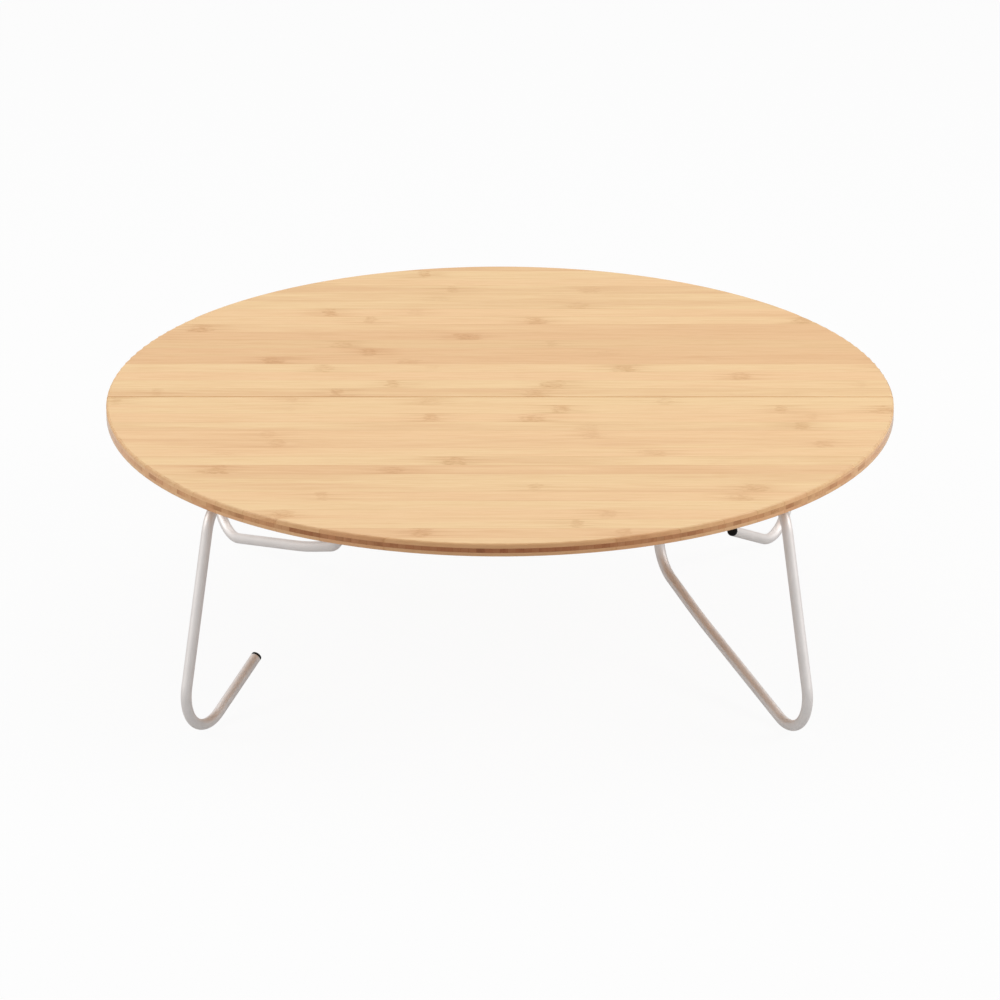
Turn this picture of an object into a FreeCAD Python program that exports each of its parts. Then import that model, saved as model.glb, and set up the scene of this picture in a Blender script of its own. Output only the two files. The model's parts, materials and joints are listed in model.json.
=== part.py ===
import FreeCAD, Part
import Sketcher
import math
import os

# Low round folding table: a laminated disc in two halves, hinged under its seam, on four bent tubes.
# Millimetres and degrees, +Z up, origin on the floor under the middle of the top.
# The seam runs along X and the front half lies towards -Y.
# The rear half repeats the front half, turned by 180 degrees about Z.

# Lengths
SIZES = {
    # laminated top
    "top_radius": 350,
    "table_height": 226,
    "face_ply": 4.5,
    "core_ply": 4,
    "under_ply": 3.5,
    "seam_gap": 0.8,
    "seam_bevel": 0.25,
    "rim_round": 2,
    "under_round": 1.2,
    # bent tubes
    "tube_diameter": 9.5,
    "tube_wall": 1.2,
    "bend_radius": 36,
    "tube_tail": 14,
    # hook leg: one leg, a foot bend and a short return with a free end
    "hook_inset": 26,
    "hook_return": 67.7,
    "hook_clip_pitch": 50,
    # loop leg: one leg, a foot bend and a long bowed return that turns up to the top near the seam
    "loop_inset": 28.7,
    "loop_seam_margin": 17.5,
    "loop_bow_reach": 76,
    "loop_bow_radius": 600,
    # end plugs
    "plug_head": 2.6,
    "plug_round": 0.8,
    "plug_stem": 10,
    "plug_clearance": 0.05,
    # saddle clips that carry the pivot runs
    "pivot_gap": 0.3,
    "pivot_clearance": 0.1,
    "clip_sheet": 1.5,
    "clip_width": 16,
    "clip_flange": 13,
    "clip_corner": 4,
    "clip_bend": 1.2,
    "clip_margin": 6,
    # seam hinges
    "fold_clearance": 0.6,
    "hinge_inset": 120,
    "hinge_length": 60,
    "middle_knuckle": 24,
    "knuckle_radius": 4,
    "knuckle_gap": 0.3,
    "pin_diameter": 4,
    "pin_clearance": 0.05,
    "pin_head": 1.2,
    "pin_head_radius": 3,
    "leaf_sheet": 2,
    "leaf_width": 26,
    "leaf_gap": 0.4,
    "leaf_corner": 4,
    "leaf_bend": 1.5,
    "leaf_screw_inset": 9,
    "leaf_screw_pitch": 20,
    # wood screws
    "screw_shank": 3.5,
    "screw_bite": 7,
    "screw_head": 7,
    "screw_head_height": 2,
    "screw_head_round": 0.9,
    "screw_clearance": 0.05,
    "screw_hole_play": 0.2,
}

# Angles: a leg's top corner seen from the middle of the top, its pivot's turn from the Y axis in plan,
# the leg's lean from upright, the rise of its return and how much steeper that gets past its bow
ANGLES = {
    "hook_bearing": 39.9,
    "hook_turn": 30,
    "hook_lean": 15.5,
    "hook_rise": 25.5,
    "loop_bearing": 40.6,
    "loop_turn": 28,
    "loop_lean": 15.8,
    "loop_rise": 16.5,
    "loop_bow": 3.5,
}

# How a sketch names its own X axis and origin
X_AXIS = -1
ORIGIN = (-1, 1)

WHOLE_TURN = 360
SAME = 1e-6
HINGE_SIDES = {"left": -1, "right": 1}
LEAF_SCREW_STEPS = (-1, 0, 1)

doc = FreeCAD.newDocument("folding_table")
sheet = doc.addObject("Spreadsheet::Sheet", "sizes")
for row, (alias, size) in enumerate({**SIZES, **ANGLES}.items(), 1):
    sheet.set(f"A{row}", alias)
    sheet.set(f"B{row}", str(size))
    sheet.setAlias(f"B{row}", alias)
doc.recompute()


def cell(name):
    """The formula that reads one size from the sheet."""
    return f"sizes.{name}"


def number(formula):
    """The value that a formula has now."""
    return FreeCAD.Units.Quantity(sheet.evalExpression(formula)).Value


# Levels above the floor and distances that several pieces share, as formulas of the sheet
TUBE_RADIUS = f"({cell('tube_diameter')} / 2)"
TUBE_BORE = f"({TUBE_RADIUS} - {cell('tube_wall')})"
FACE_LEVEL = cell("table_height")
CORE_TOP = f"({FACE_LEVEL} - {cell('face_ply')})"
UNDER_TOP = f"({CORE_TOP} - {cell('core_ply')})"
UNDERSIDE = f"({UNDER_TOP} - {cell('under_ply')})"
PIVOT_DROP = f"({cell('pivot_gap')} + {TUBE_RADIUS})"
PIVOT_LEVEL = f"({UNDERSIDE} - {PIVOT_DROP})"
CLIP_BORE = f"({TUBE_RADIUS} + {cell('pivot_clearance')})"
CLIP_OUTER = f"({CLIP_BORE} + {cell('clip_sheet')})"
CLIP_REACH = f"({CLIP_OUTER} + {cell('clip_flange')})"
CLIP_SCREW = f"({CLIP_OUTER} + {cell('clip_flange')} / 2)"
FOLD_DROP = f"({PIVOT_DROP} + {CLIP_OUTER} + {cell('fold_clearance')})"
FOLD_LEVEL = f"({UNDERSIDE} - {FOLD_DROP})"
HALF_GAP = f"({cell('seam_gap')} / 2)"
HINGE_X = f"({cell('top_radius')} - {cell('hinge_inset')})"
LEAF_INNER = f"({cell('leaf_gap')} / 2)"
LEAF_SCREW_Y = f"({cell('leaf_width')} - {cell('leaf_screw_inset')})"
PILOT = f"({cell('screw_shank')} / 2 + {cell('screw_clearance')})"
SCREW_HOLE = f"({cell('screw_shank')} / 2 + {cell('screw_hole_play')})"

# Each half is made for the front; the rear one is the same, turned about Z
HALF_TURN = {"front": 0, "rear": 180}


def leg_corner(kind):
    """How far a leg's sharp top corner lies from the middle of the top, along X and along Y."""
    radius = f"({cell('top_radius')} - {cell(kind + '_inset')})"
    bearing = cell(kind + "_bearing")
    return f"({radius} * cos({bearing}))", f"({radius} * sin({bearing}))"


def bend_reach(inner_angle):
    """Distance from a bend's sharp corner to its tangent points, for the angle between its two runs."""
    return f"({cell('bend_radius')} / tan(({inner_angle}) / 2))"


def leg_values(kind):
    """Formulas of one kind of leg in its own plane: u runs along the pivot towards the seam, w is up."""
    lean = cell(f"{kind}_lean")
    rise = cell(f"{kind}_rise")
    foot_angle = f"(90 - {lean} - {rise})"
    corner_share = f"(sin((90 - {lean} + {rise}) / 2) / sin({foot_angle} / 2) - 1)"
    foot_lift = f"({cell('bend_radius')} * {corner_share})"
    foot_w = f"(-({PIVOT_LEVEL} - {TUBE_RADIUS}) - {foot_lift})"
    foot_u = f"({foot_w} * tan({lean}))"
    near_clip = f"({bend_reach(f'90 + {lean}')} + {cell('clip_width')} / 2 + {cell('clip_margin')})"
    tail = f"({cell('clip_width')} / 2 + {cell('tube_tail')})"
    values = {"lean": lean, "rise": rise, "foot": (foot_u, foot_w), "near_clip": near_clip}
    if kind == "hook":
        far_clip = f"({near_clip} + {cell('hook_clip_pitch')})"
        run = f"({bend_reach(foot_angle)} + {cell('hook_return')})"
        values["far_clip"] = far_clip
        values["start"] = f"({far_clip} + {tail})"
        values["end"] = (f"({foot_u} + {run} * cos({rise}))", f"({foot_w} + {run} * sin({rise}))")
    else:
        span = f"(({leg_corner(kind)[1]} - {cell('loop_seam_margin')}) / cos({cell('loop_turn')}))"
        far_clip = f"({span} - {cell('bend_radius')} - {cell('clip_width')} / 2 - {cell('clip_margin')})"
        values["far_clip"] = far_clip
        values["start"] = f"({near_clip} + {tail})"
        values["span"] = span
        bow = cell("loop_bow")
        bow_u = f"({span} - {cell('loop_bow_reach')})"
        bow_w = f"({foot_w} + ({bow_u} - {foot_u}) * tan({rise}))"
        values["bow"] = (bow_u, bow_w)
        bow_start = f"({bow_u} - {cell('loop_bow_radius')} * tan({bow} / 2) * cos({rise}))"
        values["bow_centre"] = f"({bow_start} - {cell('loop_bow_radius')} * sin({rise}))"
        values["inner"] = (span, f"({bow_w} + {cell('loop_bow_reach')} * tan({rise} + {bow}))")
        values["end"] = (f"({far_clip} - {tail})", "0")
    return values


LEG_VALUES = {"hook": leg_values("hook"), "loop": leg_values("loop")}

# Front legs: kind, side in X and the plan direction of the pivot towards the seam
FRONT_LEGS = {
    "hook": (-1, f"(90 - {cell('hook_turn')})"),
    "loop": (1, f"(90 + {cell('loop_turn')})"),
}
LEG_SIDES = {
    ("front", "hook"): "left",
    ("front", "loop"): "right",
    ("rear", "hook"): "right",
    ("rear", "loop"): "left",
}


def new_body(label, base=("0", "0", "0"), turn="0"):
    """An empty body whose place and turn about Z follow formulas."""
    body = doc.addObject("PartDesign::Body", label)
    body.Label = label
    body.AllowCompound = True
    body.Placement = FreeCAD.Placement(FreeCAD.Vector(), FreeCAD.Rotation(FreeCAD.Vector(0, 0, 1), 1))
    for letter, formula in zip("xyz", base):
        body.setExpression(f"Placement.Base.{letter}", formula)
    body.setExpression("Placement.Rotation.Angle", f"({turn}) * 1 deg")
    return body


def half_body(label, half):
    """A body of one half of the top."""
    return new_body(label, turn=str(HALF_TURN[half]))


def leg_body(label, half, kind):
    """A body in a leg's own plane: X along the pivot, Z up, origin at the sharp top corner of the leg."""
    side, turn = FRONT_LEGS[kind]
    sign = 1 if half == "front" else -1
    x, y = leg_corner(kind)
    base = (f"{side * sign} * {x}", f"{-sign} * {y}", PIVOT_LEVEL)
    return new_body(label, base, f"{turn} + {HALF_TURN[half]}")


def hinge_body(label, name):
    """A body of one seam hinge, with its origin at the middle of the fold axis."""
    return new_body(label, (f"{HINGE_SIDES[name]} * {HINGE_X}", "0", FOLD_LEVEL))


def origin_plane(body, role):
    """One of the body's own three planes."""
    return next(feature for feature in body.Origin.OriginFeatures if feature.Role == role)


def new_sketch(body, role, offset="0"):
    """A sketch on an origin plane, moved along that plane's normal."""
    sketch = body.newObject("Sketcher::SketchObject", f"{body.Name}_sketch")
    sketch.AttachmentSupport = (origin_plane(body, role), [""])
    sketch.MapMode = "FlatFace"
    sketch.setExpression("AttachmentOffset.Base.z", offset)
    return sketch


def tie(sketch, formula, *constraint):
    """Adds a constraint whose size follows a formula."""
    degrees = constraint[0] == "Angle"
    size = math.radians(number(formula)) if degrees else number(formula)
    index = sketch.addConstraint(Sketcher.Constraint(*constraint, size))
    sketch.setExpression(f"Constraints[{index}]", f"({formula}) * 1 deg" if degrees else formula)


def pin(sketch, point, place):
    """Ties a point of the sketch to two formulas, measured from the sketch's origin."""
    tie(sketch, place[0], "DistanceX", *ORIGIN, *point)
    tie(sketch, place[1], "DistanceY", *ORIGIN, *point)


def flat_point(place):
    return FreeCAD.Vector(number(place[0]), number(place[1]), 0)


def meet(sketch, first, second, kind):
    """Joins each end of an edge with the end of another that lies on the same spot."""
    for one in (1, 2):
        for other in (1, 2):
            if sketch.getPoint(first, one).isEqual(sketch.getPoint(second, other), SAME):
                sketch.addConstraint(Sketcher.Constraint(kind, first, one, second, other))


def polygon(sketch, places):
    """A closed outline of straight edges through corners given as formulas."""
    corners = [flat_point(place) for place in places]
    edges = [sketch.addGeometry(Part.LineSegment(a, b)) for a, b in zip(corners, corners[1:] + corners[:1])]
    for edge, following, place in zip(edges, edges[1:] + edges[:1], places[1:] + places[:1]):
        sketch.addConstraint(Sketcher.Constraint("Coincident", edge, 2, following, 1))
        pin(sketch, (edge, 2), place)
    return edges


def circle(sketch, place, radius):
    """A circle whose centre and radius follow formulas."""
    edge = sketch.addGeometry(Part.Circle(flat_point(place), FreeCAD.Vector(0, 0, 1), number(radius)))
    pin(sketch, (edge, 3), place)
    tie(sketch, radius, "Radius", edge)


def pad(body, sketch, length, reverse=False, symmetric=False):
    feature = body.newObject("PartDesign::Pad", f"{body.Name}_pad")
    feature.Profile = sketch
    feature.setExpression("Length", length)
    feature.Reversed = reverse
    feature.SideType = "Symmetric" if symmetric else "One side"
    doc.recompute()
    return feature


def pocket(body, sketch, length=None, reverse=False, symmetric=False):
    """Cuts a sketch out of the body and makes sure that it took material away."""
    before = body.Shape.Volume
    feature = body.newObject("PartDesign::Pocket", f"{body.Name}_pocket")
    feature.Profile = sketch
    feature.Reversed = reverse
    feature.SideType = "Symmetric" if symmetric else "One side"
    if length is None:
        feature.Type = "ThroughAll"
    else:
        feature.setExpression("Length", length)
    doc.recompute()
    if not body.Shape.Volume < before:
        raise RuntimeError(f"{feature.Name} cuts nothing")
    return feature


def fillet(body, edges_wanted, radius):
    """Rounds the edges of the body's tip that a test picks."""
    tip = body.Tip
    names = [f"Edge{i}" for i, edge in enumerate(tip.Shape.Edges, 1) if edges_wanted(edge)]
    feature = body.newObject("PartDesign::Fillet", f"{body.Name}_fillet")
    feature.Base = (tip, names)
    feature.setExpression("Radius", radius)
    doc.recompute()
    return feature


def is_circle(edge, radius, level):
    """True for an arc of that radius that lies level at that height."""
    if not isinstance(edge.Curve, Part.Circle):
        return False
    box = edge.BoundBox
    level_arc = max(abs(box.ZMin - level), abs(box.ZMax - level)) < SAME
    return level_arc and abs(edge.Curve.Radius - radius) < SAME


def is_ring(edge, centre):
    """True for a circle about that point."""
    return isinstance(edge.Curve, Part.Circle) and edge.Curve.Center.isEqual(centre, SAME)


def is_upright(edge, reach):
    """True for an edge that runs straight up at that distance from the body's XZ plane."""
    box = edge.BoundBox
    upright = box.XLength + box.YLength < SAME
    return upright and abs(max(-box.YMin, box.YMax) - reach) < SAME


def is_bend(edge, reach, level):
    """True for an edge that runs along X at that distance from the body's XZ plane and that height."""
    box = edge.BoundBox
    along = box.YLength + box.ZLength < SAME
    off = max(abs(max(-box.YMin, box.YMax) - reach), abs(box.ZMax - level))
    return along and off < SAME


def leg_point(kind, along, across):
    """Plan place, on the front half, of a point given along and across a leg's pivot."""
    side, turn = FRONT_LEGS[kind]
    corner_x, corner_y = leg_corner(kind)
    x = f"({side} * {corner_x} + ({along}) * cos({turn}) - ({across}) * sin({turn}))"
    y = f"(-{corner_y} + ({along}) * sin({turn}) + ({across}) * cos({turn}))"
    return (x, y)


def clip_screw_places():
    """Plan places of the clip screws on the front half."""
    places = []
    for kind in FRONT_LEGS:
        for clip in ("near_clip", "far_clip"):
            for side in (1, -1):
                places.append(leg_point(kind, LEG_VALUES[kind][clip], f"{side} * {CLIP_SCREW}"))
    return places


def hinge_screw_places():
    """Plan places of the hinge screws on the front half."""
    places = []
    for side in HINGE_SIDES.values():
        for step in LEAF_SCREW_STEPS:
            along = f"({side} * {HINGE_X} + {step} * {cell('leaf_screw_pitch')})"
            places.append((along, f"(-{LEAF_SCREW_Y})"))
    return places


def half_disc(body, level, thickness):
    """One ply of a half of the top, up from a level."""
    sketch = new_sketch(body, "XY_Plane", level)
    radius = number(cell("top_radius"))
    chord = math.sqrt(radius ** 2 - number(HALF_GAP) ** 2)
    left = FreeCAD.Vector(-chord, -number(HALF_GAP), 0)
    right = FreeCAD.Vector(chord, -number(HALF_GAP), 0)
    rim = sketch.addGeometry(Part.Arc(left, FreeCAD.Vector(0, -radius, 0), right))
    seam = sketch.addGeometry(Part.LineSegment(right, left))
    meet(sketch, rim, seam, "Coincident")
    sketch.addConstraint(Sketcher.Constraint("Coincident", rim, 3, *ORIGIN))
    sketch.addConstraint(Sketcher.Constraint("Horizontal", seam))
    tie(sketch, cell("top_radius"), "Radius", rim)
    tie(sketch, f"-{HALF_GAP}", "DistanceY", *ORIGIN, seam, 1)
    pad(body, sketch, thickness)


def pilot_holes(body, level, depth):
    """Screw holes cut upwards into a ply from a level."""
    sketch = new_sketch(body, "XY_Plane", level)
    for place in clip_screw_places() + hinge_screw_places():
        circle(sketch, place, PILOT)
    pocket(body, sketch, depth, reverse=True)


def make_face_ply(half):
    body = half_body(f"{half}_face_ply", half)
    half_disc(body, CORE_TOP, cell("face_ply"))
    level = number(FACE_LEVEL)
    radius = number(cell("top_radius"))
    fillet(body, lambda edge: is_circle(edge, radius, level), cell("rim_round"))
    bevel = new_sketch(body, "YZ_Plane")
    polygon(bevel, [
        (f"-{HALF_GAP}", FACE_LEVEL),
        (f"-({HALF_GAP} + {cell('seam_bevel')})", FACE_LEVEL),
        (f"-{HALF_GAP}", f"{FACE_LEVEL} - {cell('seam_bevel')}"),
    ])
    pocket(body, bevel, f"2 * {cell('top_radius')}", symmetric=True)
    return body


def make_core_ply(half):
    body = half_body(f"{half}_core_ply", half)
    half_disc(body, UNDER_TOP, cell("core_ply"))
    pilot_holes(body, UNDER_TOP, f"{cell('screw_bite')} - {cell('under_ply')} + {cell('screw_clearance')}")
    return body


def make_under_ply(half):
    body = half_body(f"{half}_under_ply", half)
    half_disc(body, UNDERSIDE, cell("under_ply"))
    level = number(UNDERSIDE)
    radius = number(cell("top_radius"))
    fillet(body, lambda edge: is_circle(edge, radius, level), cell("under_round"))
    pilot_holes(body, UNDERSIDE, cell("under_ply"))
    return body


def bent_path(sketch, corners, radii):
    """Straight runs through the corners with a tangent bend at each; returns the runs and the bends."""
    points = [flat_point(corner) for corner in corners]
    edges = []
    start = points[0]
    for before, corner, after, bend_radius in zip(points, points[1:], points[2:], radii):
        radius = number(bend_radius)
        back = (before - corner).normalize()
        ahead = (after - corner).normalize()
        half = back.getAngle(ahead) / 2
        middle = (back + ahead).normalize()
        reach = radius / math.tan(half)
        bend_start = corner + back * reach
        bend_end = corner + ahead * reach
        bend_middle = corner + middle * (radius / math.sin(half) - radius)
        edges.append(sketch.addGeometry(Part.LineSegment(start, bend_start)))
        edges.append(sketch.addGeometry(Part.Arc(bend_start, bend_middle, bend_end)))
        start = bend_end
    edges.append(sketch.addGeometry(Part.LineSegment(start, points[-1])))
    for first, second in zip(edges, edges[1:]):
        meet(sketch, first, second, "Tangent")
    runs = edges[0::2]
    bends = edges[1::2]
    for bend, radius in zip(bends, radii):
        tie(sketch, radius, "Radius", bend)
    return runs, bends


def leg_path(body, kind):
    """The centre line of a leg in its own plane."""
    values = LEG_VALUES[kind]
    sketch = new_sketch(body, "XZ_Plane")
    corners = [(values["start"], "0"), ("0", "0"), values["foot"]]
    radii = [cell("bend_radius")] * 2
    if kind == "loop":
        corners += [values["bow"], values["inner"], (values["span"], "0")]
        radii += [cell("loop_bow_radius"), cell("bend_radius"), cell("bend_radius")]
    runs, bends = bent_path(sketch, corners + [values["end"]], radii)
    pivot, leg, foot_return = runs[:3]
    sketch.addConstraint(Sketcher.Constraint("Horizontal", pivot))
    pin(sketch, (pivot, 1), (values["start"], "0"))
    sketch.addConstraint(Sketcher.Constraint("PointOnObject", *ORIGIN, leg))
    tie(sketch, f"-(90 + {values['lean']})", "Angle", leg)
    foot_centre = f"-({PIVOT_LEVEL} - {TUBE_RADIUS} - {cell('bend_radius')})"
    tie(sketch, foot_centre, "DistanceY", *ORIGIN, bends[1], 3)
    tie(sketch, values["rise"], "Angle", foot_return)
    if kind == "hook":
        tie(sketch, cell("hook_return"), "Distance", foot_return)
    else:
        steep_return, upright, inner_pivot = runs[3:]
        tie(sketch, values["bow_centre"], "DistanceX", *ORIGIN, bends[2], 3)
        tie(sketch, f"({values['rise']} + {cell('loop_bow')})", "Angle", steep_return)
        sketch.addConstraint(Sketcher.Constraint("Vertical", upright))
        tie(sketch, values["span"], "DistanceX", *ORIGIN, upright, 1)
        sketch.addConstraint(Sketcher.Constraint("Horizontal", inner_pivot))
        pin(sketch, (inner_pivot, 2), values["end"])
    return sketch


def make_leg(half, kind):
    """A tube swept along its bent centre line."""
    body = leg_body(f"{half}_{LEG_SIDES[half, kind]}_{kind}_leg", half, kind)
    path = leg_path(body, kind)
    ring = new_sketch(body, "YZ_Plane", LEG_VALUES[kind]["start"])
    circle(ring, ("0", "0"), TUBE_RADIUS)
    circle(ring, ("0", "0"), TUBE_BORE)
    pipe = body.newObject("PartDesign::AdditivePipe", f"{body.Name}_pipe")
    pipe.Profile = ring
    pipe.Spine = (path, [""])
    doc.recompute()
    section = math.pi * (number(TUBE_RADIUS) ** 2 - number(TUBE_BORE) ** 2)
    if not math.isclose(pipe.Shape.Volume, section * path.Shape.Length, rel_tol=1e-4):
        raise RuntimeError(f"{body.Label} is not a plain tube along its path")
    return body


def add_plug(body, end, heading):
    """A plug in a tube end: a flush head outside and a stem in the bore, turned about the tube's axis."""
    def at(along, out):
        u = f"({end[0]} + ({along}) * cos({heading}) - ({out}) * sin({heading}))"
        w = f"({end[1]} + ({along}) * sin({heading}) + ({out}) * cos({heading}))"
        return (u, w)

    stem_radius = f"({TUBE_BORE} - {cell('plug_clearance')})"
    head = cell("plug_head")
    sketch = new_sketch(body, "XZ_Plane")
    polygon(sketch, [
        at(f"-{cell('plug_stem')}", "0"),
        at(f"-{cell('plug_stem')}", stem_radius),
        at("0", stem_radius),
        at("0", TUBE_RADIUS),
        at(head, TUBE_RADIUS),
        at(head, "0"),
    ])
    axis = sketch.addGeometry(Part.LineSegment(flat_point(at("-1", "0")), flat_point(at("1", "0"))), True)
    pin(sketch, (axis, 1), at("-1", "0"))
    pin(sketch, (axis, 2), at("1", "0"))
    turned = body.newObject("PartDesign::Revolution", f"{body.Name}_turned")
    turned.Profile = sketch
    turned.ReferenceAxis = (sketch, ["Axis0"])
    turned.Angle = WHOLE_TURN
    doc.recompute()
    middle = flat_point(at(head, "0"))
    face = FreeCAD.Vector(middle.x, 0, middle.y)
    fillet(body, lambda edge: is_ring(edge, face), cell("plug_round"))


def make_plugs(half, kind):
    """The plugs of one leg: a hook's free return and pivot end, or a loop's two facing pivot ends."""
    values = LEG_VALUES[kind]
    stem = f"{half}_{LEG_SIDES[half, kind]}"
    pivot_end = (values["start"], "0")
    if kind == "hook":
        free_end = leg_body(f"{stem}_return_plug", half, kind)
        add_plug(free_end, values["end"], values["rise"])
        pivot = leg_body(f"{stem}_pivot_plug", half, kind)
        add_plug(pivot, pivot_end, "0")
        return [free_end, pivot]
    pair = leg_body(f"{stem}_pivot_plugs", half, kind)
    add_plug(pair, pivot_end, "0")
    add_plug(pair, values["end"], "180")
    return [pair]


def clip_outline(sketch):
    """Section of a saddle clip: two flanges against the top and a strap round the tube's lower half."""
    seat = PIVOT_DROP
    flange = f"({seat} - {cell('clip_sheet')})"

    def side(sign):
        inner = [(f"{sign} * {CLIP_BORE}", "0"), (f"{sign} * {CLIP_BORE}", seat)]
        tip = [(f"{sign} * {CLIP_REACH}", seat), (f"{sign} * {CLIP_REACH}", flange)]
        outer = [(f"{sign} * {CLIP_OUTER}", flange), (f"{sign} * {CLIP_OUTER}", "0")]
        return inner + tip + outer

    strap_ends = []
    for sign in (1, -1):
        places = side(sign)
        points = [flat_point(place) for place in places]
        edges = [sketch.addGeometry(Part.LineSegment(a, b)) for a, b in zip(points, points[1:])]
        pin(sketch, (edges[0], 1), places[0])
        for edge, place in zip(edges, places[1:]):
            pin(sketch, (edge, 2), place)
        for edge, following in zip(edges, edges[1:]):
            sketch.addConstraint(Sketcher.Constraint("Coincident", edge, 2, following, 1))
        strap_ends.append((edges[0], edges[-1]))
    for index, radius in enumerate((CLIP_BORE, CLIP_OUTER)):
        reach = number(radius)
        ends = [FreeCAD.Vector(reach, 0, 0), FreeCAD.Vector(0, -reach, 0), FreeCAD.Vector(-reach, 0, 0)]
        arc = sketch.addGeometry(Part.Arc(*ends))
        for edges in strap_ends:
            meet(sketch, arc, edges[index], "Coincident")
        sketch.addConstraint(Sketcher.Constraint("PointOnObject", arc, 3, X_AXIS))


def make_clip(half, kind, clip, word):
    body = leg_body(f"{half}_{LEG_SIDES[half, kind]}_clip_{word}", half, kind)
    place = LEG_VALUES[kind][clip]
    sketch = new_sketch(body, "YZ_Plane", place)
    clip_outline(sketch)
    pad(body, sketch, cell("clip_width"), symmetric=True)
    reach = number(CLIP_REACH)
    fillet(body, lambda edge: is_upright(edge, reach), cell("clip_corner"))
    strap = number(CLIP_OUTER)
    flange = number(f"{PIVOT_DROP} - {cell('clip_sheet')}")
    fillet(body, lambda edge: is_bend(edge, strap, flange), cell("clip_bend"))
    holes = new_sketch(body, "XY_Plane", PIVOT_DROP)
    for side in (1, -1):
        circle(holes, (place, f"{side} * {CLIP_SCREW}"), SCREW_HOLE)
    pocket(body, holes, cell("clip_sheet"))
    return body


def make_leaf(name, half):
    """A cranked hinge leaf: a plate under the top, a web down the seam and its knuckles round the pin."""
    body = hinge_body(f"{name}_hinge_{half}_leaf", name)
    sign = -1 if half == "front" else 1
    inner = f"{sign} * {LEAF_INNER}"
    web = f"{sign} * ({LEAF_INNER} + {cell('leaf_sheet')})"
    edge_y = f"{sign} * {cell('leaf_width')}"
    web_foot = f"({cell('knuckle_radius')} + {cell('knuckle_gap')})"
    plate_low = f"({FOLD_DROP} - {cell('leaf_sheet')})"

    angle = new_sketch(body, "YZ_Plane")
    polygon(angle, [
        (inner, web_foot),
        (inner, FOLD_DROP),
        (edge_y, FOLD_DROP),
        (edge_y, plate_low),
        (web, plate_low),
        (web, web_foot),
    ])
    pad(body, angle, cell("hinge_length"), symmetric=True)
    reach = number(cell("leaf_width"))
    fillet(body, lambda edge: is_upright(edge, reach), cell("leaf_corner"))
    web_reach = number(f"{LEAF_INNER} + {cell('leaf_sheet')}")
    plate = number(plate_low)
    fillet(body, lambda edge: is_bend(edge, web_reach, plate), cell("leaf_bend"))
    add_knuckles(body, half, inner, web, web_foot)
    bore = new_sketch(body, "YZ_Plane")
    circle(bore, ("0", "0"), f"({cell('pin_diameter')} / 2 + {cell('pin_clearance')})")
    pocket(body, bore, f"2 * {cell('hinge_length')}", symmetric=True)
    holes = new_sketch(body, "XY_Plane", FOLD_DROP)
    for step in LEAF_SCREW_STEPS:
        circle(holes, (f"{step} * {cell('leaf_screw_pitch')}", f"{sign} * {LEAF_SCREW_Y}"), SCREW_HOLE)
    pocket(body, holes, cell("leaf_sheet"))
    return body


def add_knuckles(body, half, inner, web, web_foot):
    """Knuckles under the web: the front leaf has the two outer ones, the rear leaf the middle one."""
    middle = cell("middle_knuckle")
    outer_start = f"({middle} / 2 + {cell('knuckle_gap')})"
    front = half == "front"
    sketch = new_sketch(body, "YZ_Plane", outer_start if front else "0")
    radius = number(cell("knuckle_radius"))
    near = number(inner)
    far = number(web)
    near_point = FreeCAD.Vector(near, math.sqrt(radius ** 2 - near ** 2), 0)
    far_point = FreeCAD.Vector(far, math.sqrt(radius ** 2 - far ** 2), 0)
    barrel = sketch.addGeometry(Part.Arc(near_point, FreeCAD.Vector(0, -radius, 0), far_point))
    corners = [near_point, flat_point((inner, web_foot)), flat_point((web, web_foot)), far_point]
    edges = [sketch.addGeometry(Part.LineSegment(a, b)) for a, b in zip(corners, corners[1:])]
    meet(sketch, barrel, edges[0], "Coincident")
    meet(sketch, barrel, edges[-1], "Coincident")
    for edge, following in zip(edges, edges[1:]):
        sketch.addConstraint(Sketcher.Constraint("Coincident", edge, 2, following, 1))
    sketch.addConstraint(Sketcher.Constraint("Coincident", barrel, 3, *ORIGIN))
    tie(sketch, cell("knuckle_radius"), "Radius", barrel)
    pin(sketch, (edges[1], 1), (inner, web_foot))
    pin(sketch, (edges[1], 2), (web, web_foot))
    sketch.addConstraint(Sketcher.Constraint("Vertical", edges[0]))
    sketch.addConstraint(Sketcher.Constraint("Vertical", edges[-1]))
    if not front:
        pad(body, sketch, middle, symmetric=True)
        return
    knuckle = pad(body, sketch, f"{cell('hinge_length')} / 2 - {outer_start}")
    mirror = body.newObject("PartDesign::Mirrored", f"{body.Name}_mirror")
    mirror.Originals = [knuckle]
    mirror.MirrorPlane = (origin_plane(body, "YZ_Plane"), [""])
    body.Tip = mirror
    doc.recompute()


def make_pin(name):
    """The hinge pin with a head at each end."""
    body = hinge_body(f"{name}_hinge_pin", name)
    reach = f"({cell('hinge_length')} / 2 + {cell('pin_clearance')})"
    tip = f"({reach} + {cell('pin_head')})"
    shaft = f"({cell('pin_diameter')} / 2)"
    head = cell("pin_head_radius")
    sketch = new_sketch(body, "XZ_Plane")
    polygon(sketch, [
        (f"-{tip}", "0"),
        (f"-{tip}", shaft),
        (f"-{reach} - {cell('pin_head')} / 2", head),
        (f"-{reach}", head),
        (f"-{reach}", shaft),
        (reach, shaft),
        (reach, head),
        (f"{reach} + {cell('pin_head')} / 2", head),
        (tip, shaft),
        (tip, "0"),
    ])
    turned = body.newObject("PartDesign::Revolution", f"{body.Name}_turned")
    turned.Profile = sketch
    turned.ReferenceAxis = (sketch, ["H_Axis"])
    turned.Angle = WHOLE_TURN
    doc.recompute()
    return body


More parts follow.
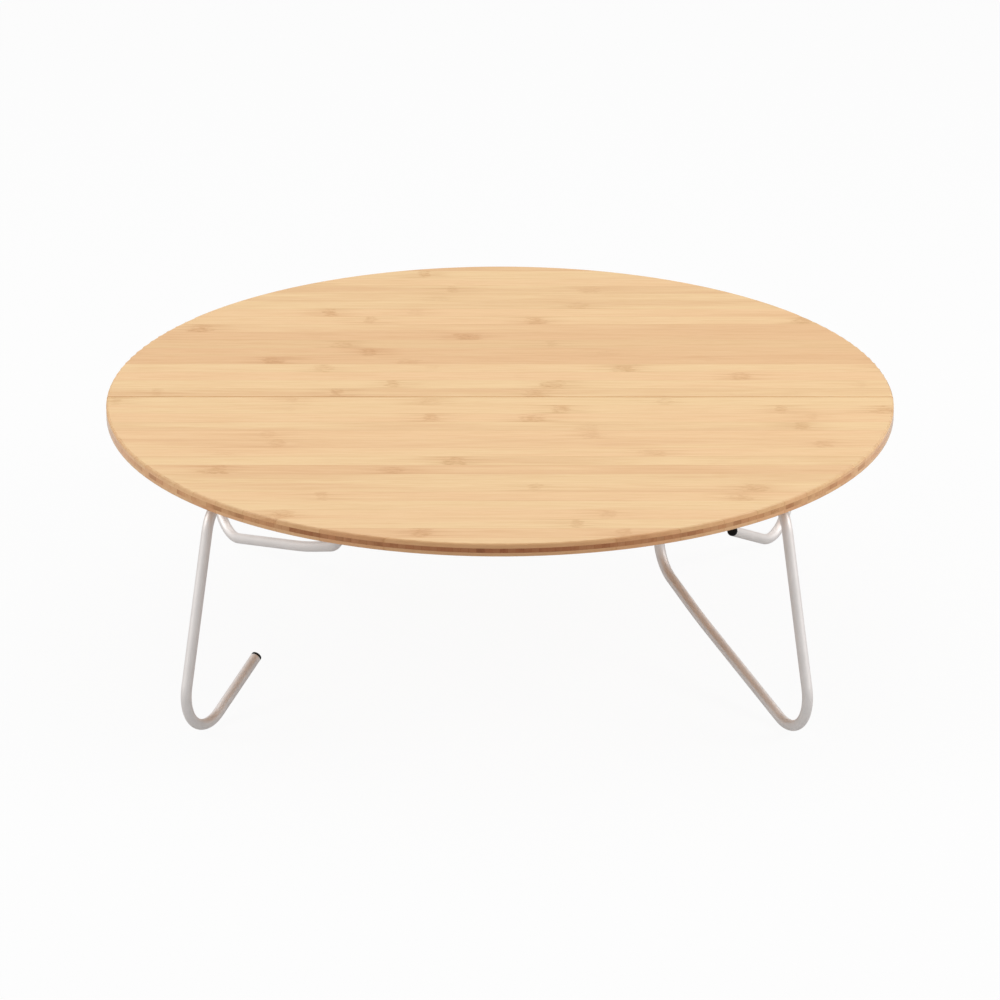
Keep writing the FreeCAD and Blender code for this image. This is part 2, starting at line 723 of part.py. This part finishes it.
def make_screws(label, half, places, sheet_name):
    """Wood screws of one half: heads under a sheet, shanks up through it into the two lower plies."""
    body = half_body(label, half)
    seat = f"({UNDERSIDE} - {cell(sheet_name)})"
    shanks = new_sketch(body, "XY_Plane", seat)
    heads = new_sketch(body, "XY_Plane", seat)
    for place in places:
        circle(shanks, place, f"{cell('screw_shank')} / 2")
        circle(heads, place, f"{cell('screw_head')} / 2")
    pad(body, shanks, f"{cell(sheet_name)} + {cell('screw_bite')}")
    pad(body, heads, cell("screw_head_height"), reverse=True)
    level = number(f"{seat} - {cell('screw_head_height')}")
    radius = number(f"{cell('screw_head')} / 2")
    fillet(body, lambda edge: is_circle(edge, radius, level), cell("screw_head_round"))
    return body


def make_half(half):
    """Everything that rides on one half of the top, and its two legs."""
    pieces = [make_face_ply(half), make_core_ply(half), make_under_ply(half)]
    for kind in FRONT_LEGS:
        pieces.append(make_leg(half, kind))
        pieces += make_plugs(half, kind)
        pieces.append(make_clip(half, kind, "near_clip", "outer"))
        pieces.append(make_clip(half, kind, "far_clip", "inner"))
    pieces.append(make_screws(f"{half}_clip_screws", half, clip_screw_places(), "clip_sheet"))
    pieces.append(make_screws(f"{half}_hinge_screws", half, hinge_screw_places(), "leaf_sheet"))
    pieces += [make_leaf(name, half) for name in HINGE_SIDES]
    return pieces


sub_parts = make_half("front") + make_half("rear") + [make_pin(name) for name in HINGE_SIDES]
doc.recompute()

for item in doc.Objects:
    if "Invalid" in item.State or "Error" in item.State:
        raise RuntimeError(f"{item.Label} failed: {item.State}")
for piece in sub_parts:
    if piece.Shape.isNull() or not piece.Shape.isValid():
        raise RuntimeError(f"{piece.Label} has no valid shape")

os.makedirs("parts", exist_ok=True)
for piece in sub_parts:
    piece.Shape.exportStep(f"parts/{piece.Label}.step")
    print(f"{piece.Label}: {len(piece.Shape.Solids)} solids, {piece.Shape.Volume:.1f} mm3")
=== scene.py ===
import json
import math
from types import SimpleNamespace

import bpy
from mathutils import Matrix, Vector


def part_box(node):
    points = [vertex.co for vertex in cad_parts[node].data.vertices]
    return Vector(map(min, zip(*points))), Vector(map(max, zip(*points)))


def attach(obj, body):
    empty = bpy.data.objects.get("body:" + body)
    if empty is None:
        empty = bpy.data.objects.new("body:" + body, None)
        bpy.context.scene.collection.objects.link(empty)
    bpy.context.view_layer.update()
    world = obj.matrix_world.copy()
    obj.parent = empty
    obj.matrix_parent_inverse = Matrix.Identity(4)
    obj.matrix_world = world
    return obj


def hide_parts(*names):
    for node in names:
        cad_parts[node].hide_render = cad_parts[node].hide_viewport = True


# Low round folding table of laminated bamboo on bent steel tubes, in a plain white studio.
# Metres, +Z up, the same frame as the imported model: the seam runs along X, the front lies towards -Y.

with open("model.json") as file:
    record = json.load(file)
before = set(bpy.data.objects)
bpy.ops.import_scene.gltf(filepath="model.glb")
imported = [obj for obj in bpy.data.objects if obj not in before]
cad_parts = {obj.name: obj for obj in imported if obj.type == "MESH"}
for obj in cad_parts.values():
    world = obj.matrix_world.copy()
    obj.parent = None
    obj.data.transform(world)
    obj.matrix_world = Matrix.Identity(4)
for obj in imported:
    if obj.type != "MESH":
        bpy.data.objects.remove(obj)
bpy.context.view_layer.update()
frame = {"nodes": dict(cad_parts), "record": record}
nodes = frame["nodes"]
scene = bpy.context.scene

MM = 0.001
TOP_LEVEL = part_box("front_face_ply")[1].z


# Node trees

NOISE_MIDDLE = 0.5


def plug_in(tree, socket, value):
    """Links an output into a socket, or sets the socket's own value."""
    if isinstance(value, bpy.types.NodeSocket):
        tree.links.new(value, socket)
    else:
        socket.default_value = value


def add(tree, kind, inputs=None, **settings):
    """A new node with its own settings, and with its inputs linked or set by name or number."""
    made = tree.nodes.new(kind)
    for name, value in settings.items():
        setattr(made, name, value)
    for name, value in (inputs or {}).items():
        plug_in(tree, made.inputs[name], value)
    return made


def calc(tree, operation, first, second=0.0):
    """The output of one math node."""
    return add(tree, "ShaderNodeMath", {0: first, 1: second}, operation=operation).outputs[0]


def remap(tree, value, low, high, new_low=0.0, new_high=1.0):
    """A value moved from one range to another, smooth and clamped at both ends."""
    inputs = {"Value": value, "From Min": low, "From Max": high, "To Min": new_low, "To Max": new_high}
    return add(tree, "ShaderNodeMapRange", inputs, interpolation_type="SMOOTHSTEP").outputs["Result"]


def vector(tree, x, y, z):
    """A vector of three numbers or outputs."""
    return add(tree, "ShaderNodeCombineXYZ", {0: x, 1: y, 2: z}).outputs[0]


def noise(tree, place, waves, detail=2.0, rough=0.5):
    """Smooth noise between about 0 and 1, with a number of waves per metre along each axis."""
    stretched = add(tree, "ShaderNodeVectorMath", {0: place, 1: waves}, operation="MULTIPLY").outputs[0]
    inputs = {"Vector": stretched, "Scale": 1.0, "Detail": detail, "Roughness": rough}
    return add(tree, "ShaderNodeTexNoise", inputs).outputs["Fac"]


def swinging(tree, wave, swing):
    """Noise moved to swing about zero."""
    return calc(tree, "MULTIPLY", calc(tree, "SUBTRACT", wave, NOISE_MIDDLE), swing)


def random_three(tree, place):
    """Three random numbers that stay the same for the same place."""
    made = add(tree, "ShaderNodeTexWhiteNoise", {"Vector": place}, noise_dimensions="3D")
    return add(tree, "ShaderNodeSeparateColor", {"Color": made.outputs["Color"]}).outputs


def mixed(tree, share, first, second, blend_type="MIX"):
    """Two colours mixed by a share."""
    made = add(tree, "ShaderNodeMix", data_type="RGBA", blend_type=blend_type)
    sockets = [socket for socket in made.inputs if socket.type == "RGBA"]
    plug_in(tree, made.inputs["Factor"], share)
    plug_in(tree, sockets[0], first)
    plug_in(tree, sockets[1], second)
    return next(socket for socket in made.outputs if socket.type == "RGBA")


def tinted(tree, share, color, tint):
    """A colour multiplied by a tint where the share is 1."""
    return mixed(tree, share, color, (*tint, 1), "MULTIPLY")


def new_material(name, **even):
    """A material with a principled shader; values that are even all over are set on its sockets."""
    material = bpy.data.materials.new(name)
    material.use_nodes = True
    tree = material.node_tree
    shader = tree.nodes["Principled BSDF"]
    for socket, value in even.items():
        shader.inputs[socket.replace("_", " ")].default_value = value
    return material, tree, shader


def rough_surface(tree, shader, height, distance):
    """Bump from a height between 0 and 1 that stands for a real depth in metres."""
    bump = add(tree, "ShaderNodeBump", {"Height": height, "Distance": distance, "Strength": 1.0})
    tree.links.new(bump.outputs["Normal"], shader.inputs["Normal"])


# Bamboo strips

FACE_STRIP = 21 * MM
CORE_STRIP = 6.6 * MM

# the most metres that the grain of a strip is shifted along it
GRAIN_SHIFT = 40.0

# how far the drift moves a strip's tone, and the levels at which its shade starts and is full
DRIFT_SWING = 1.6
SHADE_LEVELS = (0.45, 1.15)

# a band of darker strips behind the seam, and the least shade there
DARK_BAND = (84 * MM, 168 * MM)
DARK_BAND_SHARE = 0.85


def lay_strips(tree, along, strip, seed):
    """Strips side by side along one axis: where a point lies on its strip, and how its surface faces."""
    coordinates = add(tree, "ShaderNodeTexCoord").outputs
    x, y, z = add(tree, "ShaderNodeSeparateXYZ", {0: coordinates["Object"]}).outputs
    run, cross = (x, y) if along == "X" else (y, x)
    step = calc(tree, "DIVIDE", cross, strip)
    number = calc(tree, "FLOOR", step)
    hue, depth, shift = random_three(tree, vector(tree, number, seed, 0.0))
    own_run = calc(tree, "ADD", run, calc(tree, "MULTIPLY", shift, GRAIN_SHIFT))
    normal = add(tree, "ShaderNodeSeparateXYZ", {0: coordinates["Normal"]}).outputs
    facing_x, facing_y, facing_z = [calc(tree, "ABSOLUTE", part) for part in normal]
    facing_end, facing_side = (facing_x, facing_y) if along == "X" else (facing_y, facing_x)
    return SimpleNamespace(
        run=run,
        cross=cross,
        number=number,
        within=calc(tree, "FRACT", step),
        from_seam=calc(tree, "ABSOLUTE", y),
        hue=hue,
        depth=depth,
        shift=shift,
        grain=vector(tree, own_run, cross, z),
        facing_end=facing_end,
        facing_side=facing_side,
        facing_level=facing_z,
    )


def strip_tone(tree, strips, drift, pale, warm, shade, dark_band):
    """The colour of each strip, which drifts along it from pale to warm and to a darker shade."""
    swing = swinging(tree, drift, DRIFT_SWING)
    warmth = remap(tree, calc(tree, "ADD", strips.hue, swing), 0.0, 1.0)
    color = mixed(tree, warmth, (*pale, 1), (*warm, 1))
    dark = remap(tree, calc(tree, "ADD", strips.depth, swing), *SHADE_LEVELS)
    if dark_band:
        low, high = dark_band
        past_low = calc(tree, "GREATER_THAN", strips.cross, low)
        before_high = calc(tree, "LESS_THAN", strips.cross, high)
        inside = calc(tree, "MULTIPLY", past_low, before_high)
        dark = calc(tree, "MAXIMUM", dark, calc(tree, "MULTIPLY", inside, DARK_BAND_SHARE))
    return tinted(tree, dark, color, shade)


# Growth marks of the bamboo, one at most in each stretch of a strip

MARK_SPACING = 190 * MM
MARK_HALF_LENGTHS = (6.4 * MM, 13.6 * MM)
MARK_EDGE = (1.25, 0.45)
MARK_POWERS = (0.15, 1.0)

# the most stretches that the marks of a strip are shifted along it, and what is added to its seed
MARK_SHIFT = 7.0
MARK_SEED = 1.0

# the ragged edge of a mark, the dashes in it and the halo round it
RAG_WAVES = (70.0, 330.0, 330.0)
RAG_SWING = 2.4
DASH_WAVES = (150.0, 800.0, 800.0)
DASH_LEVELS = (0.38, 0.62)
DASH_SHARES = (0.25, 1.0)
HALO_REACH = 40 * MM
HALO_LEVELS = (0.58, 0.38)
HALO_SHARES = (0.1, 0.5)

# places in shares of the stretch, centres and half widths in shares of the strip's width
MARK_PLACES = (0.2, 0.8)
MARK_CENTRES = (0.25, 0.6)
MARK_HALF_WIDTHS = (0.4, 0.75)
WIDTH_POWERS = (0.2, 1.0)


def growth_marks(tree, strips, coarse, seed):
    """How dark the marks are: ragged spots, each of its own place, size and power, with a faint halo."""
    shift = calc(tree, "MULTIPLY", strips.shift, MARK_SHIFT)
    reach = calc(tree, "ADD", calc(tree, "DIVIDE", strips.run, MARK_SPACING), shift)
    stretch = calc(tree, "FLOOR", reach)
    place, power, form = random_three(tree, vector(tree, strips.number, stretch, seed + MARK_SEED))
    middle = remap(tree, place, 0.0, 1.0, *MARK_PLACES)
    off_middle = calc(tree, "SUBTRACT", calc(tree, "FRACT", reach), middle)
    away = calc(tree, "MULTIPLY", off_middle, MARK_SPACING)
    along = calc(tree, "DIVIDE", away, remap(tree, form, 0.0, 1.0, *MARK_HALF_LENGTHS))
    off_centre = calc(tree, "SUBTRACT", strips.within, remap(tree, form, 1.0, 0.0, *MARK_CENTRES))
    across = calc(tree, "DIVIDE", off_centre, remap(tree, power, *WIDTH_POWERS, *MARK_HALF_WIDTHS))
    spot = add(tree, "ShaderNodeVectorMath", {0: vector(tree, along, across, 0.0)}, operation="LENGTH")

    # the spot, ragged at its edge and broken into dashes
    rag = noise(tree, strips.grain, RAG_WAVES, detail=3.0, rough=0.65)
    ragged = calc(tree, "ADD", spot.outputs["Value"], swinging(tree, rag, RAG_SWING))
    dashes = noise(tree, strips.grain, DASH_WAVES, detail=3.0, rough=0.65)
    dashed = remap(tree, dashes, *DASH_LEVELS, *DASH_SHARES)
    body = calc(tree, "MULTIPLY", remap(tree, ragged, *MARK_EDGE), dashed)

    # the halo, darker fibres on either side of it
    near = remap(tree, calc(tree, "ABSOLUTE", away), HALO_REACH, 0.0)
    halo = calc(tree, "MULTIPLY", near, remap(tree, coarse, *HALO_LEVELS, *HALO_SHARES))
    return calc(tree, "MULTIPLY", calc(tree, "MAXIMUM", body, halo), remap(tree, power, *MARK_POWERS))


# Bamboo boards

# waves of noise along a strip, across it and through the board, and the levels of their tints
DRIFT_WAVES = (5.0, 50.0, 50.0)
COARSE_WAVES = (14.0, 300.0, 300.0)
COARSE_LEVELS = (0.62, 0.30)
FINE_WAVES = (50.0, 1500.0, 1500.0)
FINE_LEVELS = (0.60, 0.30)
FIBRE_DEPTH = 0.03 * MM

# half widths of the glue lines between the strips and of the painted shade along the seam between the two
# halves, and how dark they are
GLUE_LINE = 0.5 * MM
GLUE_SHARE = 0.5
SEAM_SHADE_REACH = 1.6 * MM
SEAM_SHADE_MIDDLE = 0.48 * MM
SEAM_SHADE_LEVELS = (0.35, 0.65)
SEAM_SHADE_SHARES = (0.35, 1.0)

COARSE_TINT = (0.95, 0.915, 0.88)
FINE_TINT = (0.97, 0.95, 0.93)
MARK_TINT = (0.77, 0.65, 0.55)
GLUE_TINT = (0.80, 0.68, 0.56)
# painted shade along the seam between the two halves
SEAM_SHADE_TINT = (0.84, 0.76, 0.67)

# how sharply the tints of the strips' sides and ends set in round the rim; they hold the strips' own tone
# with painted shade and painted sheen
SIDE_POWER = 2.0
END_POWER = 4.0

# roughness of the faces from the fine fibres, and the rim's share of it
GLOSS_LEVELS = (0.25, 0.75)
FACE_ROUGHNESS = (0.58, 0.46)
RIM_LEVELS = (0.2, 0.8)
RIM_SHARES = (0.3, 1.0)


def glue_lines(tree, strips, strip):
    """How dark the lines between strips are."""
    to_border = calc(tree, "MINIMUM", strips.within, calc(tree, "SUBTRACT", 1.0, strips.within))
    return remap(tree, calc(tree, "MULTIPLY", to_border, strip), GLUE_LINE, 0.0, 0.0, GLUE_SHARE)


def painted_seam_shade(tree, strips, drift):
    """How dark the painted shade along the seam between the two halves is; it fades in places."""
    seam = remap(tree, strips.from_seam, SEAM_SHADE_REACH, SEAM_SHADE_MIDDLE)
    return calc(tree, "MULTIPLY", seam, remap(tree, drift, *SEAM_SHADE_LEVELS, *SEAM_SHADE_SHARES))


def bamboo(name, pale, warm, shade, side_tone_and_painted_light, end_tone_and_painted_light, along, strip, seed, dark_band=None):
    """Strips glued side by side along one axis, with fibres, marks, glue lines, a glossier rim, and
    painted shade and sheen.
    """
    material, tree, shader = new_material(name, IOR=1.45, Specular_IOR_Level=0.35)
    strips = lay_strips(tree, along, strip, seed)
    drift = noise(tree, strips.grain, DRIFT_WAVES)
    coarse = noise(tree, strips.grain, COARSE_WAVES, detail=3.0, rough=0.6)
    fine = noise(tree, strips.grain, FINE_WAVES, rough=0.6)

    color = strip_tone(tree, strips, drift, pale, warm, shade, dark_band)
    color = tinted(tree, remap(tree, coarse, *COARSE_LEVELS), color, COARSE_TINT)
    color = tinted(tree, remap(tree, fine, *FINE_LEVELS), color, FINE_TINT)
    color = tinted(tree, growth_marks(tree, strips, coarse, seed), color, MARK_TINT)
    color = tinted(tree, glue_lines(tree, strips, strip), color, GLUE_TINT)
    # painted shade along the seam between the two halves
    color = tinted(tree, painted_seam_shade(tree, strips, drift), color, SEAM_SHADE_TINT)
    # the rim's tone where the strips' sides and ends show, with painted shade and a painted sheen in it
    color = tinted(tree, calc(tree, "POWER", strips.facing_side, SIDE_POWER), color, side_tone_and_painted_light)
    color = tinted(tree, calc(tree, "POWER", strips.facing_end, END_POWER), color, end_tone_and_painted_light)
    tree.links.new(color, shader.inputs["Base Color"])

    rough = remap(tree, fine, *GLOSS_LEVELS, *FACE_ROUGHNESS)
    rim_share = remap(tree, strips.facing_level, *RIM_LEVELS, *RIM_SHARES)
    tree.links.new(calc(tree, "MULTIPLY", rough, rim_share), shader.inputs["Roughness"])
    rough_surface(tree, shader, fine, FIBRE_DEPTH)
    return material


# Metal and plastic

GRAIN_LEVELS = (0.3, 0.7)
EVEN_WAVES = (900.0, 900.0, 900.0)
ROLLED_WAVES = (60.0, 2200.0, 2200.0)
CLOUD_WAVES = (35.0, 35.0, 35.0)
CLOUD_SHADE = 0.95
STEEL_ROUGHNESS_SPREAD = 0.04
STEEL_DEPTH = 0.004 * MM

PLASTIC_WAVES = (2600.0, 2600.0, 2600.0)
PLASTIC_DARK = (0.004, 0.004, 0.004)
PLASTIC_LIGHT = (0.009, 0.008, 0.008)
PLASTIC_ROUGHNESS = (0.6, 0.75)
PLASTIC_DEPTH = 0.01 * MM


def ramp(tree, grain, first, second):
    """A colour that goes from the first to the second between the grain's levels."""
    made = add(tree, "ShaderNodeValToRGB", {"Fac": grain})
    for element, level, color in zip(made.color_ramp.elements, GRAIN_LEVELS, (first, second)):
        element.position = level
        element.color = (*color, 1)
    return made.outputs["Color"]


def satin_steel(name, color, rough, waves, **even):
    """Satin steel: a fine grain in gloss and height, stretched along one axis where it is rolled."""
    material, tree, shader = new_material(name, **{"Metallic": 1.0, **even})
    place = add(tree, "ShaderNodeTexCoord").outputs["Object"]
    cloud = noise(tree, place, CLOUD_WAVES)
    shaded = [part * CLOUD_SHADE for part in color]
    tree.links.new(ramp(tree, cloud, shaded, color), shader.inputs["Base Color"])
    grain = noise(tree, place, waves, detail=4.0, rough=0.6)
    spread = (rough - STEEL_ROUGHNESS_SPREAD, rough + STEEL_ROUGHNESS_SPREAD)
    tree.links.new(remap(tree, grain, *GRAIN_LEVELS, *spread), shader.inputs["Roughness"])
    rough_surface(tree, shader, grain, STEEL_DEPTH)
    return material


def black_plastic(name):
    """Moulded black plastic with the fine texture of its mould."""
    material, tree, shader = new_material(name, Specular_IOR_Level=0.2)
    place = add(tree, "ShaderNodeTexCoord").outputs["Object"]
    grain = noise(tree, place, PLASTIC_WAVES)
    tree.links.new(ramp(tree, grain, PLASTIC_DARK, PLASTIC_LIGHT), shader.inputs["Base Color"])
    tree.links.new(remap(tree, grain, *GRAIN_LEVELS, *PLASTIC_ROUGHNESS), shader.inputs["Roughness"])
    rough_surface(tree, shader, grain, PLASTIC_DEPTH)
    return material


# Materials of the record's slots

SLOT_MATERIALS = {
    "bamboo_face": bamboo(
        "bamboo_face",
        pale=(0.855, 0.604, 0.330),
        warm=(0.85, 0.566, 0.311),
        shade=(0.92, 0.87, 0.84),
        # the rim where it faces front and back, darkened as painted shade
        side_tone_and_painted_light=(1.0, 0.81, 0.70),
        # the rim where it faces left and right, kept pale as a painted sheen
        end_tone_and_painted_light=(1.0, 0.88, 0.815),
        along="X",
        strip=FACE_STRIP,
        seed=3.0,
        dark_band=DARK_BAND,
    ),
    "bamboo_core": bamboo(
        "bamboo_core",
        pale=(0.84, 0.530, 0.270),
        warm=(0.80, 0.460, 0.225),
        shade=(0.71, 0.61, 0.54),
        # the rim where it faces left and right, kept pale as a painted sheen
        side_tone_and_painted_light=(0.95, 0.86, 0.82),
        # the core's own darker end grain, in front and behind
        end_tone_and_painted_light=(0.60, 0.385, 0.305),
        along="Y",
        strip=CORE_STRIP,
        seed=11.0,
    ),
    "bamboo_under": bamboo(
        "bamboo_under",
        # tones a little darker than the face's, partly the ply's own tone and partly painted shade of the
        # underside
        pale=(0.81, 0.535, 0.315),
        warm=(0.80, 0.490, 0.285),
        shade=(0.90, 0.84, 0.80),
        # the rim where it faces front and back, darkened as painted shade
        side_tone_and_painted_light=(1.0, 0.885, 0.76),
        # the rim where it faces left and right, kept pale as a painted sheen
        end_tone_and_painted_light=(1.0, 0.955, 0.83),
        along="X",
        strip=FACE_STRIP,
        seed=23.0,
    ),
    "tube_steel": satin_steel(
        "tube_steel",
        color=(0.88, 0.842, 0.822),
        rough=0.56,
        waves=EVEN_WAVES,
        Metallic=0.7,
        Specular_IOR_Level=0.1,
        Specular_Tint=(0.78, 0.75, 0.73, 1),
    ),
    "clip_steel": satin_steel("clip_steel", (0.56, 0.55, 0.54), 0.36, ROLLED_WAVES),
    "hinge_steel": satin_steel("hinge_steel", (0.54, 0.53, 0.52), 0.34, ROLLED_WAVES),
    "screw_steel": satin_steel("screw_steel", (0.58, 0.57, 0.56), 0.30, EVEN_WAVES),
    "black_plastic": black_plastic("black_plastic"),
}

for part in frame["record"]["subparts"]:
    piece = nodes[part["node"]]
    piece.data.materials.clear()
    piece.data.materials.append(SLOT_MATERIALS[part["material_slot"]])


# Screws, with the cross recess that the plain ones lack

SCREW_STEPS = 48
ROUND_STEPS = 6
SHARP_ANGLE = math.radians(35)
TINY = 1e-9

# the sizes of the plain screws, and of the recess
SHANK_RADIUS = 1.75 * MM
HEAD_RADIUS = 3.5 * MM
HEAD_HEIGHT = 2 * MM
HEAD_ROUND = 0.9 * MM
RECESS_REACH = 1.9 * MM
RECESS_HALF = 0.4 * MM
RECESS_DEPTH = 1.2 * MM

# points nearer than this to each other, seen from above, are on one screw
SCREW_SPREAD = 8 * MM


def screw_places(node):
    """The lowest and the highest corner of each screw of a node, found from its points."""
    groups = []
    for vertex in nodes[node].data.vertices:
        near = [group for group in groups if (group[0] - vertex.co).xy.length < SCREW_SPREAD]
        if near:
            near[0].append(vertex.co)
        else:
            groups.append([vertex.co])
    return [[Vector(pick(axis) for axis in zip(*group)) for pick in (min, max)] for group in groups]


def recess_reach(angle):
    """Distance from a screw's axis to the edge of its cross recess, along a direction."""
    across = max(abs(math.cos(angle)), TINY)
    along = max(abs(math.sin(angle)), TINY)
    first_bar = min(RECESS_REACH / across, RECESS_HALF / along)
    second_bar = min(RECESS_HALF / across, RECESS_REACH / along)
    return max(first_bar, second_bar)


def screw_rings(tip, low):
    """Rings of (radius, level) from a screw's tip to its recess; no radius means the recess's edge."""
    rings = [(SHANK_RADIUS, tip), (SHANK_RADIUS, low + HEAD_HEIGHT), (HEAD_RADIUS, low + HEAD_HEIGHT)]
    for step in range(ROUND_STEPS + 1):
        turn = math.pi / 2 * step / ROUND_STEPS
        radius = HEAD_RADIUS - HEAD_ROUND * (1 - math.cos(turn))
        rings.append((radius, low + HEAD_ROUND * (1 - math.sin(turn))))
    return rings + [(None, low), (None, low + RECESS_DEPTH)]


def add_screw(points, faces, low_corner, high_corner):
    """Adds the points and faces of one screw that stands head down."""
    corner = math.atan2(RECESS_HALF, RECESS_REACH)
    angles = {2 * math.pi * step / SCREW_STEPS for step in range(SCREW_STEPS)}
    angles |= {quarter * math.pi / 2 + side * corner for quarter in range(4) for side in (-1, 1)}
    angles = sorted(angle % (2 * math.pi) for angle in angles)
    middle = (low_corner + high_corner) / 2
    rings = screw_rings(high_corner.z, low_corner.z)
    start = len(points)
    count = len(angles)
    for radius, level in rings:
        for angle in angles:
            reach = recess_reach(angle) if radius is None else radius
            points.append((middle.x + reach * math.cos(angle), middle.y + reach * math.sin(angle), level))
    for ring in range(len(rings) - 1):
        upper = start + ring * count
        lower = upper + count
        for step in range(count):
            ahead = (step + 1) % count
            faces.append((upper + step, lower + step, lower + ahead, upper + ahead))
    faces.append(range(start, start + count))
    faces.append(range(len(points) - 1, len(points) - 1 - count, -1))


def make_screws(node, body):
    """All the screws of a node, in place of it."""
    points = []
    faces = []
    for low_corner, high_corner in screw_places(node):
        add_screw(points, faces, low_corner, high_corner)
    mesh = bpy.data.meshes.new(f"{node}_crossed")
    mesh.from_pydata(points, [], faces)
    mesh.shade_smooth()
    mesh.set_sharp_from_angle(angle=SHARP_ANGLE)
    mesh.materials.append(SLOT_MATERIALS["screw_steel"])
    screws = bpy.data.objects.new(mesh.name, mesh)
    scene.collection.objects.link(screws)
    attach(screws, body)
    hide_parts(node)


for half in ("front", "rear"):
    for kind in ("clip", "hinge"):
        make_screws(f"{half}_{kind}_screws", f"{half}_half")


# Studio

WHITE = (1, 1, 1, 1)
SKY_STRENGTH = 0.32
FLOOR_SIZE = 30.0
FLOOR_GREY = (0.72, 0.72, 0.72, 1)
FLOOR_ROUGHNESS = 0.9

# the floor's share of backdrop, and how white the backdrop is in a mirror
BACKDROP_SHARE = 0.94
MIRRORED_SKY = 0.7
MIRRORED_FLOOR = 0.62

# place, width, height and watts of each lamp
LAMPS = {
    "overhead": ((0.0, 0.7, 2.6), 2.6, 2.6, 29.5),
    "left": ((-2.4, -0.5, 1.7), 1.2, 1.0, 28),
    "right": ((2.4, -0.5, 1.7), 1.2, 1.0, 35),
}

# the photograph's view; the tilt takes the table above the middle of the picture
CAMERA_DISTANCE = 5.6
CAMERA_ELEVATION = math.radians(20.6)
CAMERA_TILT = math.radians(0.94)
CAMERA_SENSOR = 36
CAMERA_LENS = 226.5


def backdrop_rays(tree, mirrored_share):
    """How white the backdrop looks: fully so from the camera, less where it is mirrored."""
    path = add(tree, "ShaderNodeLightPath").outputs
    mirrored = calc(tree, "MULTIPLY", path["Is Glossy Ray"], mirrored_share)
    return calc(tree, "MAXIMUM", path["Is Camera Ray"], mirrored)


def make_world():
    """Even white light all round, and plain white where the backdrop is looked at."""
    world = bpy.data.worlds.new("studio")
    scene.world = world
    world.use_nodes = True
    tree = world.node_tree
    tree.nodes.clear()
    light = add(tree, "ShaderNodeBackground", {"Color": WHITE, "Strength": SKY_STRENGTH})
    white = add(tree, "ShaderNodeBackground", {"Color": WHITE, "Strength": 1.0})
    share = backdrop_rays(tree, MIRRORED_SKY)
    mix = add(tree, "ShaderNodeMixShader", {0: share, 1: light.outputs[0], 2: white.outputs[0]})
    add(tree, "ShaderNodeOutputWorld", {"Surface": mix.outputs[0]})


def make_floor():
    """A plain pale floor that fades to the white backdrop and keeps a faint shadow."""
    bpy.ops.mesh.primitive_plane_add(size=FLOOR_SIZE)
    floor = bpy.context.object
    floor.name = "floor"
    material, tree, shader = new_material("pale_floor", Base_Color=FLOOR_GREY, Roughness=FLOOR_ROUGHNESS)
    strength = backdrop_rays(tree, MIRRORED_FLOOR)
    white = add(tree, "ShaderNodeEmission", {"Color": WHITE, "Strength": strength})
    share = calc(tree, "MULTIPLY", backdrop_rays(tree, 1.0), BACKDROP_SHARE)
    mix = add(tree, "ShaderNodeMixShader", {0: share, 1: shader.outputs[0], 2: white.outputs[0]})
    tree.links.new(mix.outputs[0], tree.nodes["Material Output"].inputs["Surface"])
    floor.data.materials.append(material)


def make_camera():
    """A long lens from the front, a little above the table."""
    camera = bpy.data.cameras.new("camera")
    camera.sensor_width = CAMERA_SENSOR
    camera.lens = CAMERA_LENS
    holder = bpy.data.objects.new("camera", camera)
    back = CAMERA_DISTANCE * math.cos(CAMERA_ELEVATION)
    rise = CAMERA_DISTANCE * math.sin(CAMERA_ELEVATION)
    holder.location = (0, -back, TOP_LEVEL + rise)
    holder.rotation_euler = (math.pi / 2 - CAMERA_ELEVATION - CAMERA_TILT, 0, 0)
    scene.collection.objects.link(holder)
    scene.camera = holder


def softbox(name, place, width, height, watts):
    """A rectangular lamp that faces the middle of the top."""
    lamp = bpy.data.lights.new(name, "AREA")
    lamp.shape = "RECTANGLE"
    lamp.size = width
    lamp.size_y = height
    lamp.energy = watts
    holder = bpy.data.objects.new(name, lamp)
    holder.location = place
    beam = Vector((0, 0, TOP_LEVEL)) - Vector(place)
    holder.rotation_euler = beam.to_track_quat("-Z", "Y").to_euler()
    scene.collection.objects.link(holder)


make_world()
make_floor()
make_camera()
for name, lamp in LAMPS.items():
    softbox(name, *lamp)
scene.view_settings.view_transform = "Standard"
